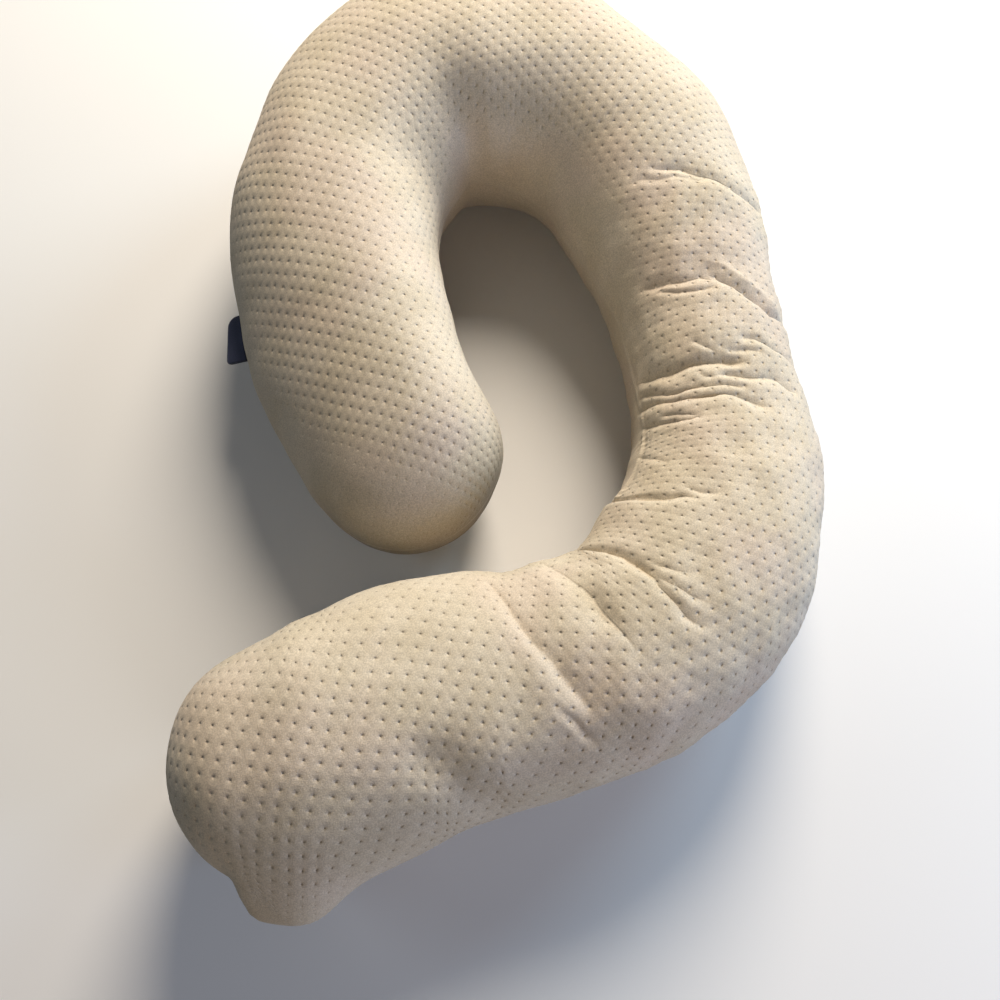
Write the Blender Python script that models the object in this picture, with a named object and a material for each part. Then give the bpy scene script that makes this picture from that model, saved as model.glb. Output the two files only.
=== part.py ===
"""A body pillow bent like a shepherd's crook, lying on its underside on a flat surface.

The filled body is one loft: a slumped, flat-bottomed section carried along a hooked centre line, with
rounded ends, a raised seam along both sides, crush folds where the pillow bends, and a slack corner at
its foot. A folded ribbon tab stands out of the outer seam. Metres, +Z up, the surface at z = 0.
"""
import bpy
import numpy as np

MM = 0.001

# The pillow's line seen from above, from the tip of the hook to the tip of the foot, in millimetres.
# left and right: reach of the cloth to either side, facing along the line. height: of the crown.
# seam: where the right-hand seam lies, in degrees round the section from the crown.
LINE_COLUMNS = ("x", "y", "left", "right", "height", "seam")
LINE = (
    (-60, -147, 70, 70, 140, 90),
    (-76, -109, 74, 82, 142, 90),
    (-91, -75, 78, 84, 146, 90),
    (-115, -30, 82, 86, 150, 90),
    (-137, 20, 86, 91, 156, 90),
    (-151, 75, 87, 91, 162, 92),
    (-157, 135, 91, 92, 168, 94),
    (-149, 195, 92, 94, 172, 95),
    (-124, 242, 102, 95, 178, 95),
    (-82, 279, 112, 91, 184, 95),
    (-31, 296, 116, 100, 188, 95),
    (23, 292, 102, 102, 184, 95),
    (71, 266, 82, 98, 176, 95),
    (107, 224, 91, 92, 166, 94),
    (129, 170, 90, 84, 154, 91),
    (145, 114, 84, 73, 144, 88),
    (156, 58, 77, 66, 134, 82),
    (163, 4, 75, 62, 130, 80),
    (169, -47, 77, 68, 132, 69),
    (170, -83, 79, 74, 138, 67),
    (164, -119, 79, 77, 144, 72),
    (148, -163, 84, 86, 150, 80),
    (123, -201, 82, 85, 152, 90),
    (90, -230, 81, 84, 152, 90),
    (51, -247, 80, 86, 152, 90),
    (11, -260, 81, 85, 152, 90),
    (-29, -268, 84, 94, 156, 90),
    (-69, -279, 86, 97, 158, 90),
    (-105, -295, 87, 95, 160, 90),
    (-136, -306, 89, 94, 162, 90),
    (-174, -313, 90, 86, 158, 90),
    (-240, -314, 84, 86, 148, 90),
)
LEFT_SEAM = 92            # degrees from the crown, all the way along

HOOK_CAP = 85 * MM        # length over which the hook's end rounds off, and how squarely
HOOK_CAP_POWER = 2.2
FOOT_CAP = 90 * MM
FOOT_CAP_POWER = 2.5
FOOT_CAP_LEFT = 112 * MM  # the foot falls away sooner on its left
FOOT_CAP_LEFT_POWER = 1.9
FOOT_CAP_TOP = 62 * MM    # its crown stays level almost to the end
FOOT_CAP_TOP_POWER = 2.4

EAR_PLACE = 1447 * MM     # slack corner of the cover at the foot, on the left
EAR_LENGTH = 25 * MM
EAR_REACH = 20 * MM
EAR_THINNESS = 8          # how quickly the corner thins away from the seam

SECTION_POWER = 2.2       # 2 is an ellipse; the stuffed cloth is a little squarer
SEAM_HEIGHT = 0.48        # height of the side seams, as a share of the crown's height
SLUMP = 9 * MM            # how far the filling has spread into the flat underside

# The upper face leans: by this share of its rise it is lower over the left seam and higher over the
# right one, by distance along the line.
LEAN_COLUMNS = ("place", "share")
LEAN = (
    (0, 0.10),
    (60, 0.24),
    (110, 0.30),
    (190, 0.34),
    (240, 0.20),
    (330, 0.00),
    (1230, 0.00),
    (1290, -0.06),
    (1350, 0.04),
    (1400, 0.12),
    (1521, 0.12),
)

SEAM_RIDGE = 1.8 * MM     # the sewn edges inside lift the cloth along the seam
SEAM_SPREAD = 3.5         # half the ridge's width, in degrees round the section

# Folds. Going along the pillow the cloth sinks by depth over about before, climbs again within rise,
# and swells a little beyond, over about after; all in millimetres. A fold dies away over fade degrees
# at each end, and runs through points of degrees from the crown, left positive, and distance along.
FOLD_COLUMNS = ("depth", "before", "rise", "swell", "after", "fade", "points")
FOLDS = (
    (3.6, 26, 26, 0.0, 26, 24, ((25, 333), (55, 344), (85, 355))),
    (5.0, 8, 6, 1.2, 14, 16, ((-9, 763), (6, 772), (30, 790), (74, 797))),
    (2.6, 10, 7, 1.2, 16, 18, ((-44, 774), (-20, 771), (4, 783), (19, 791))),
    (-2.2, 7, 6, 0.0, 5, 12, ((0, 848), (18, 863), (46, 880), (62, 886))),
    (3.4, 8, 6, 1.0, 12, 14, ((-44, 854), (-20, 862), (4, 869), (18, 880))),
    (5.8, 8, 6, 1.2, 14, 14, ((2, 866), (21, 880), (41, 892), (70, 894))),
    (3.0, 7, 6, 1.2, 7, 14, ((-18, 921), (8, 926), (30, 927), (54, 935))),
    (6.4, 8, 6, 1.6, 8, 14, ((-74, 928), (-40, 936), (7, 941), (34, 957))),
    (4.2, 7, 6, 1.4, 8, 12, ((-74, 953), (-40, 961), (4, 970), (30, 976))),
    (3.4, 6, 6, 1.4, 9, 14, ((-72, 975), (-45, 982), (-20, 987))),
    (5.2, 9, 6, 1.8, 14, 16, ((-90, 1076), (-47, 1078), (-20, 1069), (4, 1058))),
    (6.0, 7, 6, 2.0, 12, 18, ((-92, 1184), (-60, 1168), (-30, 1153), (14, 1151))),
    (3.6, 8, 9, 1.2, 14, 18, ((-66, 1222), (-33, 1209), (8, 1189))),
    (3.8, 8, 6, 1.2, 12, 20, ((-52, 1278), (-20, 1260), (32, 1234))),
    (3.6, 22, 22, 1.0, 24, 24, ((16, 1346), (41, 1327), (72, 1300))),
)

CROWN_STEPS = 7           # columns of faces from the crown down to each seam's ridge
UNDER_STEPS = 6           # and from the ridge round to the middle of the underside
PLAIN_STEP = 15 * MM      # spacing of the sections along the smooth stretches
FOLD_STEP = 5.2 * MM      # and along the folded one
FOLD_STRETCH = (745 * MM, 1275 * MM)
CAP_SECTIONS = 11

TAB_PLACE = 221.7 * MM     # middle of the ribbon tab, along the line
TAB_LENGTH = 36 * MM
TAB_REACH = 18 * MM
TAB_TAPER = 7.5 * MM       # it stands out less at the end towards the bend
TAB_CORNERS = (3 * MM, 8 * MM)
TAB_RIBBON = 1.0 * MM     # the ribbon's thickness, and the space between its two layers
TAB_SPACE = 0.8 * MM
TAB_DROOP = 0.18          # how far it hangs, as a share of its reach
TAB_LEAN = 0.12           # and how far it leans towards the bend
TAB_SECTIONS = 25
TAB_FOLD_POINTS = 6
CLEARANCE = 0.3 * MM

COVER_COLOUR = (0.70, 0.61, 0.48, 1)
TAB_COLOUR = (0.020, 0.028, 0.060, 1)


def columns(rows, names):
    """The rows of a table as one array for each named column."""
    return dict(zip(names, np.array(rows, dtype=float).T))


def spline(knots, values, at):
    """A smooth curve through values given at knots, read at the places named by at."""
    slope = np.gradient(values, knots)
    i = np.clip(np.searchsorted(knots, at, side="right") - 1, 0, len(knots) - 2)
    gap = knots[i + 1] - knots[i]
    t = (at - knots[i]) / gap
    start = (2 * t**3 - 3 * t**2 + 1) * values[i] + (t**3 - 2 * t**2 + t) * gap * slope[i]
    end = (3 * t**2 - 2 * t**3) * values[i + 1] + (t**3 - t**2) * gap * slope[i + 1]
    return start + end


class Line:
    """The centre line and the section's sizes at any distance along it, in metres and degrees."""

    def __init__(self):
        self.table = columns(LINE, LINE_COLUMNS)
        for name in LINE_COLUMNS[:5]:
            self.table[name] *= MM
        steps = np.hypot(np.diff(self.table["x"]), np.diff(self.table["y"]))
        self.knots = np.concatenate([[0.0], np.cumsum(steps)])
        self.length = self.knots[-1]

    def read(self, name, s):
        return spline(self.knots, self.table[name], s)

    def place(self, s):
        """Centre (x, y) and the unit vector to the left of the line."""
        ahead = np.clip(s + 0.5 * MM, 0, self.length)
        behind = np.clip(s - 0.5 * MM, 0, self.length)
        along_x = self.read("x", ahead) - self.read("x", behind)
        along_y = self.read("y", ahead) - self.read("y", behind)
        size = np.hypot(along_x, along_y)
        return self.read("x", s), self.read("y", s), -along_y / size, along_x / size


def rounding(distance, length, power):
    """Share of the full section at a distance from a tip that rounds off over a length."""
    t = np.clip(distance / length, 0, 1)
    return (1 - (1 - t) ** power) ** (1 / power)


def smooth(t):
    """0 to 1 with level ends."""
    t = np.clip(t, 0, 1)
    return t * t * (3 - 2 * t)


def fold_depth(s, degrees):
    """How far the folds push the cloth in at distance s and an angle from the crown."""
    total = 0.0
    for row in FOLDS:
        fold = dict(zip(FOLD_COLUMNS, row))
        angles, places = np.array(fold["points"], dtype=float).T
        across = s / MM - spline(angles, places, np.clip(degrees, angles[0], angles[-1]))
        width = np.where(across < 0, fold["before"], fold["rise"])
        trough = fold["depth"] * np.exp(-(across / width) ** 2)
        beyond = np.clip(across / (fold["rise"] + fold["after"]), 0, None) ** 1.5
        swell = fold["swell"] * 2.7 * beyond * np.exp(-1.6 * beyond)
        from_start = smooth((degrees - angles[0]) / fold["fade"] + 0.5)
        to_end = smooth((angles[-1] - degrees) / fold["fade"] + 0.5)
        total = total + from_start * to_end * (trough - swell)
    return total * MM


def body_point(line, s, degrees, lift=0.0):
    """Point of the cloth at distance s and an angle from the crown, -180 to 180, left positive."""
    x, y, left_x, left_y = line.place(s)
    turn = np.radians(degrees)
    on_left = degrees > 0
    height = line.read("height", s)
    seam = SEAM_HEIGHT * height
    hook = rounding(s, HOOK_CAP, HOOK_CAP_POWER)
    full = hook * rounding(line.length - s, FOOT_CAP, FOOT_CAP_POWER)
    full_left = hook * rounding(line.length - s, FOOT_CAP_LEFT, FOOT_CAP_LEFT_POWER)
    reach = np.where(on_left, line.read("left", s) * full_left, line.read("right", s) * full)
    side = np.sign(np.sin(turn)) * np.abs(np.sin(turn)) ** (2 / SECTION_POWER)
    rise = np.sign(np.cos(turn)) * np.abs(np.cos(turn)) ** (2 / SECTION_POWER)
    ear = EAR_REACH * np.exp(-(np.abs(s - EAR_PLACE) / EAR_LENGTH) ** 4)
    out = reach * side + ear * np.clip(np.sin(turn), 0, 1) ** EAR_THINNESS
    full_up = hook * rounding(line.length - s, FOOT_CAP_TOP, FOOT_CAP_TOP_POWER)
    lean = columns(LEAN, LEAN_COLUMNS)
    leaning = rise * (1 - np.interp(s / MM, lean["place"], lean["share"]) * side)
    up = np.where(rise > 0, (height - seam) * full_up * leaning, (seam + SLUMP) * full * rise)
    size = np.maximum(np.hypot(out, up), 10 * MM)
    scale = 1 + (lift - fold_depth(s, degrees) * full) / size
    out = out * scale
    z = seam + up * scale
    return np.stack([x + left_x * out, y + left_y * out, np.maximum(z, 0.0)], axis=-1)


def stations(line):
    """Distances along the line at which a section is drawn, closer together at the ends and folds."""
    ease = 1 - np.cos(np.linspace(0, np.pi / 2, CAP_SECTIONS))
    places = list(ease[1:] * HOOK_CAP)
    while places[-1] < line.length - FOOT_CAP - 1.4 * PLAIN_STEP:
        folded = FOLD_STRETCH[0] < places[-1] < FOLD_STRETCH[1]
        places.append(places[-1] + (FOLD_STEP if folded else PLAIN_STEP))
    places += list(line.length - ease[:0:-1] * FOOT_CAP)
    return np.array(places)


def side_degrees(seam):
    """Angles from the crown to the middle of the underside on one side, with the ridge's three lines."""
    crown = np.linspace(0, seam - SEAM_SPREAD, CROWN_STEPS + 1)
    under = np.linspace(seam + SEAM_SPREAD, 180, UNDER_STEPS + 1)
    return np.concatenate([crown, [seam], under])


def section(line, s):
    """The closed ring of points at distance s, from the crown round by the left."""
    left = side_degrees(LEFT_SEAM)
    right = side_degrees(float(line.read("seam", s)))
    degrees = np.concatenate([left, -right[-2:0:-1]])
    lift = np.zeros(len(degrees))
    crest = CROWN_STEPS + 1
    lift[[crest, len(degrees) - crest]] = SEAM_RIDGE
    return body_point(line, np.full(len(degrees), s), degrees, lift)


def ring_faces(count, rings):
    """The four-sided faces between neighbouring rings of count points each."""
    faces = []
    for i in range(rings - 1):
        for j in range(count):
            k = (j + 1) % count
            faces.append((i * count + j, (i + 1) * count + j, (i + 1) * count + k, i * count + k))
    return faces


def mesh_object(name, verts, faces):
    mesh = bpy.data.meshes.new(name)
    mesh.from_pydata([tuple(map(float, point)) for point in verts], [], faces)
    mesh.polygons.foreach_set("use_smooth", [True] * len(mesh.polygons))
    return bpy.data.objects.new(name, mesh)


def build_pillow(line):
    """The stuffed body, flat where it lies, closed by a fan of faces at each tip."""
    rings = [section(line, s) for s in stations(line)]
    count = len(rings[0])
    faces = ring_faces(count, len(rings))
    tip = count * len(rings)
    last = tip - count
    for j in range(count):
        k = (j + 1) % count
        faces.append((j, k, tip))
        faces.append((last + k, last + j, tip + 1))
    tips = [body_point(line, np.array(s), np.array(0.0)) for s in (0.0, line.length)]
    return mesh_object("pillow", [point for ring in rings for point in ring] + tips, faces)


def tab_reach(t):
    """How far the tab stands out at share t of its length, with its outer corners rounded."""
    reach = TAB_REACH - TAB_TAPER * t
    for distance, radius in ((t * TAB_LENGTH, TAB_CORNERS[0]), ((1 - t) * TAB_LENGTH, TAB_CORNERS[1])):
        short = max(radius - distance, 0.0)
        reach -= radius - np.sqrt(radius**2 - short**2)
    return reach


def tab_section(line, t):
    """The U-shaped ring of the folded ribbon at share t of its length."""
    s = TAB_PLACE + (t - 0.5) * TAB_LENGTH
    root = body_point(line, np.array(s), np.array(float(LEFT_SEAM)), SEAM_RIDGE + CLEARANCE)
    _, _, left_x, left_y = line.place(np.array(s))
    half, gap = TAB_SPACE / 2 + TAB_RIBBON, TAB_SPACE / 2
    reach = tab_reach(t) - half
    bend = np.linspace(np.pi / 2, -np.pi / 2, TAB_FOLD_POINTS)
    outer = [(0, half)] + [(reach + half * np.cos(a), half * np.sin(a)) for a in bend] + [(0, -half)]
    inner = [(0, -gap)] + [(reach + gap * np.cos(a), gap * np.sin(a)) for a in bend[::-1]] + [(0, gap)]
    ring = []
    for out, up in outer + inner:
        lean = TAB_LEAN * out
        x = root[0] + left_x * out + left_y * lean
        y = root[1] + left_y * out - left_x * lean
        ring.append((x, y, root[2] + up - TAB_DROOP * out))
    return ring


def build_tab(line):
    """The ribbon folded once and caught in the seam by its two ends."""
    rings = [tab_section(line, t) for t in np.linspace(0, 1, TAB_SECTIONS)]
    count = len(rings[0])
    total = count * TAB_SECTIONS
    ends = [tuple(range(count)), tuple(reversed(range(total - count, total)))]
    faces = ring_faces(count, TAB_SECTIONS) + ends
    return mesh_object("side_label", [point for ring in rings for point in ring], faces)


def cloth_material(name, colour, roughness):
    material = bpy.data.materials.new(name)
    material.use_nodes = True
    shader = material.node_tree.nodes["Principled BSDF"]
    shader.inputs["Base Color"].default_value = colour
    shader.inputs["Roughness"].default_value = roughness
    shader.inputs["Metallic"].default_value = 0.0
    material.diffuse_color = colour
    return material


def main():
    for item in list(bpy.data.objects):
        bpy.data.objects.remove(item, do_unlink=True)
    group = bpy.data.collections.new("body_pillow")
    bpy.context.scene.collection.children.link(group)
    line = Line()
    pillow = build_pillow(line)
    pillow.data.materials.append(cloth_material("dimpled_jersey", COVER_COLOUR, 0.9))
    tab = build_tab(line)
    tab.data.materials.append(cloth_material("navy_ribbon", TAB_COLOUR, 0.7))
    for piece in (pillow, tab):
        group.objects.link(piece)
    bpy.context.view_layer.update()


main()
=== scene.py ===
"""Looks of the body pillow: its dimpled knitted cover with folds and seam, its folded ribbon label,
and the plain floor, light and camera. The cover follows the solid's own line, repeated here.

Sizes written with MM are in metres. Tables and other bare sizes along the line are in millimetres,
and angles are in degrees. Round a section they count from the crown, positive to the left.
"""
import bpy
import numpy as np
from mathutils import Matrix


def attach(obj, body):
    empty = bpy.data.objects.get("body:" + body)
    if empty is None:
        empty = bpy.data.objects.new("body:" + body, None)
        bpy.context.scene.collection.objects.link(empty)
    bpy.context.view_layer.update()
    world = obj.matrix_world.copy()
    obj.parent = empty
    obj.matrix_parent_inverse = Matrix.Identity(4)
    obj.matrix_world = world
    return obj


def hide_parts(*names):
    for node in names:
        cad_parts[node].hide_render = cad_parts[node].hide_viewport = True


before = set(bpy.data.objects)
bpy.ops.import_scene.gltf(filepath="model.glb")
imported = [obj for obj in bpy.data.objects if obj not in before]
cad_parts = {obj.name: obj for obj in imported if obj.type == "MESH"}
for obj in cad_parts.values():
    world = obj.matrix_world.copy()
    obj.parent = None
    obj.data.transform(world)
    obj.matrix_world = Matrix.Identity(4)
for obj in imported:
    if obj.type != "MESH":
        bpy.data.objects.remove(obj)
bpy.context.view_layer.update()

MM = 0.001

# ---------------------------------------------------------------------------- the solid's own shape
# The line from the hook's tip to the foot's tip. At each of its points: the section's reach to the
# left and to the right, its height, and where the right side's seam lies, in degrees.
LINE_COLUMNS = ("x", "y", "left", "right", "height", "seam")
LINE = (
    (-60, -147, 70, 70, 140, 90),
    (-76, -109, 74, 82, 142, 90),
    (-91, -75, 78, 84, 146, 90),
    (-115, -30, 82, 86, 150, 90),
    (-137, 20, 86, 91, 156, 90),
    (-151, 75, 87, 91, 162, 92),
    (-157, 135, 91, 92, 168, 94),
    (-149, 195, 92, 94, 172, 95),
    (-124, 242, 102, 95, 178, 95),
    (-82, 279, 112, 91, 184, 95),
    (-31, 296, 116, 100, 188, 95),
    (23, 292, 102, 102, 184, 95),
    (71, 266, 82, 98, 176, 95),
    (107, 224, 91, 92, 166, 94),
    (129, 170, 90, 84, 154, 91),
    (145, 114, 84, 73, 144, 88),
    (156, 58, 77, 66, 134, 82),
    (163, 4, 75, 62, 130, 80),
    (169, -47, 77, 68, 132, 69),
    (170, -83, 79, 74, 138, 67),
    (164, -119, 79, 77, 144, 72),
    (148, -163, 84, 86, 150, 80),
    (123, -201, 82, 85, 152, 90),
    (90, -230, 81, 84, 152, 90),
    (51, -247, 80, 86, 152, 90),
    (11, -260, 81, 85, 152, 90),
    (-29, -268, 84, 94, 156, 90),
    (-69, -279, 86, 97, 158, 90),
    (-105, -295, 87, 95, 160, 90),
    (-136, -306, 89, 94, 162, 90),
    (-174, -313, 90, 86, 158, 90),
    (-240, -314, 84, 86, 148, 90),
)
LEFT_SEAM = 92            # degrees from the crown, all along the left side
SECTION_POWER = 2.2       # of the superellipse that a section is
SEAM_HEIGHT = 0.48        # share of the section's height
SLUMP = 9 * MM            # how far the underside would sink, if it weren't cut flat where it lies

# The two tips round off over these lengths, as superellipses of these powers. The foot's left side
# and its upper face have caps of their own.
HOOK_CAP = 85 * MM
HOOK_CAP_POWER = 2.2
FOOT_CAP = 90 * MM
FOOT_CAP_POWER = 2.5
FOOT_CAP_LEFT = 112 * MM
FOOT_CAP_LEFT_POWER = 2.05
FOOT_CAP_TOP = 62 * MM
FOOT_CAP_TOP_POWER = 2.4

# The slack corner that is drawn out of the foot's left side.
EAR_PLACE = 1447 * MM
EAR_LENGTH = (27 * MM, 20 * MM)  # before and after its place; the far side is the steeper
EAR_POWER = (3, 8)
EAR_REACH = 21 * MM
EAR_THINNESS = 8

TIP_SIZE = 10 * MM        # a lift of the cloth is scaled as on a section no smaller than this

# The upper face leans: by this share of its rise it is lower over the left seam and higher over
# the right one, by distance along the line.
LEAN_COLUMNS = ("place", "share")
LEAN = (
    (0, 0.10),
    (60, 0.24),
    (110, 0.30),
    (190, 0.34),
    (240, 0.20),
    (330, 0.00),
    (1230, 0.00),
    (1290, -0.06),
    (1350, 0.04),
    (1400, 0.12),
    (1521, 0.12),
)

# Folds of the cover. Going along the pillow the cloth sinks by depth over about before, climbs
# again within rise, and swells a little beyond, over about after; all in millimetres. A negative
# depth is a ridge. A fold dies away over fade degrees at each end, and runs through points of
# degrees from the crown and distance along.
FOLD_COLUMNS = ("depth", "before", "rise", "swell", "after", "fade", "points")
FOLDS = (
    # the two arcs above the slack stretch
    (3.4, 4.4, 4, 1.2, 14, 18, ((-9, 762), (6, 771), (19, 781), (35, 792), (62, 796))),
    (1.5, 2.6, 3, 1.2, 12, 16, ((-24, 767), (-4, 774), (12, 781), (20, 784))),
    (3.6, 26, 26, 0, 26, 24, ((25, 333), (55, 344), (85, 355))),
    # a ridge, the deep arc behind it and its doubled left end
    (-1.7, 4, 4, 0, 5, 12, ((1, 851), (9, 856), (18, 864), (31, 875), (50, 886))),
    (4.8, 4.4, 4, 1.4, 12, 14, ((2, 864), (10, 870), (21, 880), (35, 890), (66, 894))),
    (3.0, 7, 3.6, 1.0, 8, 16, ((-44, 853), (-23, 861), (-3, 866), (6, 868))),
    (2.0, 3, 2.6, 0.8, 6, 10, ((-34, 864), (-16, 873), (-4, 875), (5, 869))),
    # the crushed stretch, and the bulge that hangs over it
    (-3.2, 24, 19, 0, 5, 20, ((-58, 896), (-20, 903), (28, 912))),
    (2.4, 4, 3.5, 1.0, 7, 12, ((10, 922), (18, 923), (31, 927), (54, 935))),
    (1.9, 3, 3, 0.8, 5, 10, ((0, 927), (6, 929), (21, 935))),
    (1.7, 3, 3, 0.8, 5, 10, ((-18, 919), (-11, 925), (-3, 931))),
    (5.2, 6, 3.6, 1.2, 7, 14, ((-70, 927), (-40, 936), (-18, 939), (-1, 938), (7, 940))),
    (3.6, 4, 3, 1.2, 6, 12, ((-5, 951), (2, 952), (11, 955), (32, 957), (44, 962))),
    (1.3, 3, 3, 0.4, 5, 10, ((-22, 944), (-14, 951), (-7, 952))),
    (2.8, 3.4, 2.6, 1.0, 5, 12, ((-68, 942), (-39, 955), (-19, 959), (-8, 960), (4, 964))),
    (3.2, 4, 3, 1.2, 6, 12, ((-74, 954), (-45, 961), (-20, 968), (-3, 970), (14, 980))),
    (1.8, 2.6, 2.6, 0.6, 5, 10, ((-48, 974), (-34, 978), (-23, 984))),
    (2.6, 3, 3, 1.0, 6, 12, ((-70, 974), (-43, 983), (-22, 987))),
    # short creases from the inner seam
    (1.3, 3, 3, 0.4, 6, 10, ((-69, 1019), (-55, 1029), (-42, 1036))),
    (4.0, 5, 3.6, 1.6, 12, 14, ((-90, 1076), (-61, 1076), (-44, 1078), (-33, 1076), (-21, 1070))),
    (1.7, 4, 3.5, 0.6, 8, 12, ((-26, 1062), (-19, 1062), (-7, 1059))),
    # the sharp crease at the turn, and the little ridges fanning out of it
    (5.6, 4.8, 3.6, 1.8, 12, 14, ((-92, 1184), (-66, 1171), (-46, 1158), (-30, 1152), (-15, 1151))),
    (2.2, 5, 4, 1.0, 8, 16, ((-16, 1152), (-8, 1155), (0, 1155), (14, 1150))),
    (1.6, 3.4, 3.4, 0.8, 6, 14, ((-20, 1143), (-10, 1134), (-2, 1129))),
    (1.8, 3, 3, 0.8, 5, 14, ((-13, 1148), (-4, 1144), (7, 1139))),
    (1.4, 2, 2, 0.5, 4, 8, ((-11, 1151), (-5, 1152))),
    # the long soft folds of the lower half, and the fullness before them
    (-2.4, 28, 14, 0, 5, 20, ((-35, 1184), (0, 1191), (20, 1203), (45, 1200))),
    (3.4, 7, 9, 1.2, 14, 24, ((-66, 1222), (-33, 1209), (-13, 1200), (2, 1193))),
    (3.6, 9, 6, 1.2, 10, 18, ((-52, 1278), (-36, 1269), (-17, 1258), (-3, 1247), (23, 1235))),
    (0.8, 1.6, 2, 0.2, 4, 10, ((-10, 1258), (-3, 1252), (3, 1246))),
    (2.0, 3, 3, 0.6, 6, 12, ((19, 1250), (26, 1244), (39, 1237))),
    (3.8, 22, 22, 1.0, 24, 24, ((16, 1346), (41, 1327), (72, 1300))),
)

# A fold's bottom is sharp up to a width and then rounder, over an ease, until it is quite round.
FOLD_EDGE = 1.25
ROUND_EDGE = 2
FINE_FOLD = 8
FINE_EASE = 10
FOLD_MEETING = 3          # the higher, the more the deeper of two meeting folds wins
SWELL = (2.7, 1.6, 1.5)   # its gain, how fast it dies away, and the power of its start
FAR = 30.0                # no crease is shaded beyond this distance from a fold

# The crushed and folded stretch of the line, where the cloth is slack and crumpled.
FOLDED = (735, 1290)
FOLDED_EASE = 60
FOLD_FADE_UNDER = 14.0    # degrees below the seam over which the folds die away

# The uneven filling, the crumple of the slack cloth, how the folds wander and how the gathers do:
# height of the hills, their length in metres, how much their height in the room counts, and the
# seed of their draws.
FILLING = ((0.9, 0.085, 1, 21), (0.35, 0.04, 1, 22))
CRUMPLE = ((0.55, 0.026, 0.7, 23), (0.25, 0.014, 1, 24))
FOLD_WANDER = ((1.6, 0.034, 1, 3),)
GATHER_WANDER = ((3.0, 0.05, 1, 9),)
HILL_WAVES = 14           # how many waves make the hills
HILL_SPREAD = 4.0         # their sum is divided by this
GROUND_EASE = 22 * MM     # the unevenness ends over this height above the surface it lies on

SEAM_RIDGE = 0.7 * MM     # the sewn edges lift the cloth along a narrow line
SEAM_WIDTH = 1.5          # degrees, half its width
SEAM_DIP = 0.4 * MM       # and draw it in on both sides,
SEAM_DIP_PLACE = 2.2      # this many half widths away
SEAM_PROUD = 1.3 * MM     # the ridge is higher where the inner side is stretched
PROUD_STRETCH = (975, 1095)
PROUD_EASE = 25
GATHER = 0.45 * MM        # little gathers where the seam is drawn up, and how far apart they are
GATHER_PITCH = 9.5
GATHER_STRETCHES = ((976, 1010), (1046, 1090))
GATHER_EASE = 15
GATHER_SPREAD = 7.0       # degrees to each side of the seam

LATTICE_PITCH = (9.1 * MM, 10.0 * MM)  # between two dimples, in the cloth's two directions
QUILTING = (0.11, 0.05)   # depth of the quilting's waves in the mesh, and more where it is crushed
# No dimples where the flat cloth map keeps less than this share of the true length and would smear
# them; they are whole again when it keeps so much more.
SMEARED = 0.5
SMEARED_EASE = 0.2
# How the cloth's grid of dimples lies: the direction of the pillow's line across the grid, in
# degrees, and how stretched the cloth is, by distance along the pillow.
LATTICE_COLUMNS = ("place", "heading", "stretch")
LATTICE = (
    (0, 130, 0.90),
    (90, 137, 0.95),
    (150, 134, 0.98),
    (210, 123, 1.00),
    (270, 113, 1.01),
    (330, 103, 1.02),
    (390, 86, 0.99),
    (450, 71, 0.99),
    (510, 49, 0.98),
    (570, 29, 0.97),
    (630, 8, 0.95),
    (690, -9, 0.94),
    (750, -20, 0.94),
    (810, -29, 0.94),
    (870, -37, 0.93),
    (930, -43, 0.93),
    (1010, -45, 0.92),
    (1050, -46, 0.93),
    (1110, -54, 0.95),
    (1170, -62, 1.01),
    (1230, -67, 1.04),
    (1290, -66, 1.05),
    (1350, -61, 1.07),
    (1410, -62, 1.07),
    (1470, -69, 1.06),
    (1535, -71, 1.05),
)
# Where the cloth is slack its dimples all but flatten out: beyond these degrees down each side, by
# distance along the pillow, over so many degrees.
FAINT_COLUMNS = ("place", "degrees")
FAINT_RIGHT = (
    (330, 100), (390, 80), (440, 62), (550, 55), (650, 55), (730, 39), (790, 38), (860, 47),
    (930, 62), (990, 70), (1040, 100),
)
FAINT_RIGHT_EASE = 14
FAINT_LEFT = (
    (0, -70), (20, -24), (42, 3), (87, 23), (113, 40), (140, 50), (214, 50), (300, 58),
    (360, 75), (420, 110), (1330, 110), (1390, 72), (1450, 54), (1521, 40),
)
FAINT_LEFT_EASE = 30

# The cover's grid: its rings along the line, and the angles of the points on a ring.
HOOK_CAP_ROWS = 46
FOOT_CAP_ROWS = 50
ROW_STEP = 3.4 * MM
FOLDED_ROW_STEP = 1.36 * MM
LAST_GAP = 1.4            # of row steps at least, before the foot's cap
TOP_COLUMNS = 48          # faces from the crown down to near the seam
UNDER_COLUMNS = 7         # and from beyond it to the middle of the underside
SEAM_COLUMNS = (-4.2, -3.0, -2.1, -1.3, -0.6, 0.0, 0.6, 1.3, 2.1, 3.0, 4.2)
TOP_END = 6.0             # degrees from the seam at which the even columns end above it
UNDER_START = 7.0         # and start again below it
SECTION_FLATNESS = 0.92   # height of a typical section as a share of its width

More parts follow.
